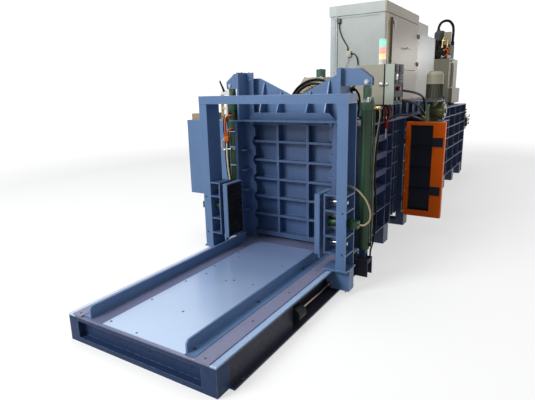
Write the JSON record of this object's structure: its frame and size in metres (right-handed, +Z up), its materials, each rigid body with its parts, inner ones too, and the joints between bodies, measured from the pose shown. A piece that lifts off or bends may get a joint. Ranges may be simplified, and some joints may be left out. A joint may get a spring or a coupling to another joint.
{
  "type": "recycling baler",
  "caption": "Horizontal baling press with a ribbed guillotine door, a bale puller portal with clamp pads on a discharge table, a feed hopper and a power unit.",
  "frame": {"origin": "middle of the machine's footprint, on the floor", "axes": "+X from the discharge table's front edge towards the rear of the press, +Y to the side of the valve cabinet, +Z up"},
  "size_m": [8.15, 2.525, 2.8609],
  "materials": {
    "blue": "satin blue machine enamel",
    "blue_portal": "satin blue machine enamel, lighter",
    "plate": "worn bright plate",
    "strip": "worn enamel on sliding strips",
    "fastener": "bright zinc",
    "green": "gloss green enamel",
    "chrome_rod": "hard chrome",
    "rubber": "grooved black rubber",
    "orange": "gloss orange enamel",
    "dark_blue": "dark blue enamel",
    "sheet": "pale grey sheet",
    "gloss_panel": "glossy panel",
    "beige": "beige enamel",
    "motor": "dark olive enamel",
    "hose": "black rubber hose",
    "hose_beige": "beige rubber hose",
    "red": "gloss",
    "white": "gloss",
    "yellow": "gloss",
    "black": "matte",
    "lens": "translucent lenses"
  },
  "bodies": {
    "frame": {"table_frame": "blue", "deck_plate": "blue", "wear_plate": "plate", "guide_rails": "blue", "deck_strips": "strip", "deck_bolts": "fastener", "puller_cover": "blue", "puller_cylinder": "black", "door_column_right": "blue", "door_column_left": "blue", "lift_cylinder_right": "green", "lift_cylinder_left": "green", "chamber_wall_left": "blue", "chamber_wall_right": "blue", "chamber_roof": "blue", "body_base": "blue", "main_cylinder": "green", "hopper_curb": "blue", "hopper": "sheet", "hopper_panel": "gloss_panel", "motor": "motor", "motor_console": "blue", "pump_unit": "green", "oil_tank": "beige", "tank_manifold": "motor", "rear_cabinet": "sheet", "valve_cabinet": "blue_portal", "roof_valve": "sheet", "rear_valve": "green", "control_box": "beige", "signal_tower": "lens", "hydraulic_hoses": "hose", "control_cables": "hose", "fill_sensor": "black"},
    "carriage": {"portal_frame": "blue_portal", "clamp_racks": "blue", "clamp_cylinders": "green", "puller_rod": "chrome_rod", "carriage_hose": "hose_beige"},
    "clamp_left": {"clamp_pad_left": "blue", "clamp_rubber_left": "rubber", "clamp_rods_left": "chrome_rod"},
    "clamp_right": {"clamp_pad_right": "blue", "clamp_rubber_right": "rubber", "clamp_rods_right": "chrome_rod"},
    "door": {"door_panel": "blue", "door_yoke": "blue_portal", "lift_rod_right": "chrome_rod", "lift_rod_left": "chrome_rod"},
    "ram": {"press_ram": "blue", "main_rod": "chrome_rod"},
    "gate": {"gate_skin": "orange", "gate_core": "dark_blue"},
    "hatch": {"hopper_door": "gloss_panel"},
    "hatch_latch": {"hopper_latch": "chrome_rod"},
    "cover": {"control_cover": "beige"},
    "stop_mushroom": {"emergency_stop": "red"},
    "start_push": {"start_button": "white"},
    "reset_push": {"reset_button": "yellow"},
    "mode_knob": {"mode_switch": "black"}
  },
  "joints": [
    {"name": "carriage_slide", "type": "slide", "parent": "frame", "child": "carriage", "axis": [-1, 0, 0], "range_m": [0, 0.58]},
    {"name": "clamp_left_slide", "type": "slide", "parent": "carriage", "child": "clamp_left", "axis": [0, -1, 0], "range_m": [0, 0.11]},
    {"name": "clamp_right_slide", "type": "slide", "parent": "carriage", "child": "clamp_right", "axis": [0, 1, 0], "range_m": [0, 0.11]},
    {"name": "door_lift", "type": "slide", "parent": "frame", "child": "door", "axis": [0, 0, 1], "range_m": [0, 1.1]},
    {"name": "ram_slide", "type": "slide", "parent": "frame", "child": "ram", "axis": [-1, 0, 0], "range_m": [0, 2]},
    {"name": "gate_swing", "type": "hinge", "parent": "frame", "child": "gate", "pos_m": [-0.469, -0.8215, 0.75], "axis": [0, 0, 1], "range_deg": [-90, 0]},
    {"name": "hatch_swing", "type": "hinge", "parent": "frame", "child": "hatch", "pos_m": [1.089, -0.5255, 2.2], "axis": [0, 0, 1], "range_deg": [0, 110]},
    {"name": "latch_turn", "type": "hinge", "parent": "hatch", "child": "hatch_latch", "pos_m": [-0.1075, -0.5145, 2.435], "axis": [0, -1, 0], "range_deg": [0, 90]},
    {"name": "cover_swing", "type": "hinge", "parent": "frame", "child": "cover", "pos_m": [-1.056, -0.8335, 1.7], "axis": [0, 0, 1], "range_deg": [0, 120]},
    {"name": "emergency_stop_push", "type": "slide", "parent": "cover", "child": "stop_mushroom", "axis": [0, 1, 0], "range_m": [0, 0.004], "stiffness_N_per_m": 1500},
    {"name": "start_push", "type": "slide", "parent": "cover", "child": "start_push", "axis": [0, 1, 0], "range_m": [0, 0.004], "stiffness_N_per_m": 800},
    {"name": "reset_push", "type": "slide", "parent": "cover", "child": "reset_push", "axis": [0, 1, 0], "range_m": [0, 0.004], "stiffness_N_per_m": 800},
    {"name": "mode_switch_turn", "type": "hinge", "parent": "cover", "child": "mode_knob", "pos_m": [-1.245, -0.9305, 1.571], "axis": [0, -1, 0], "range_deg": [-45, 45]}
  ]
}
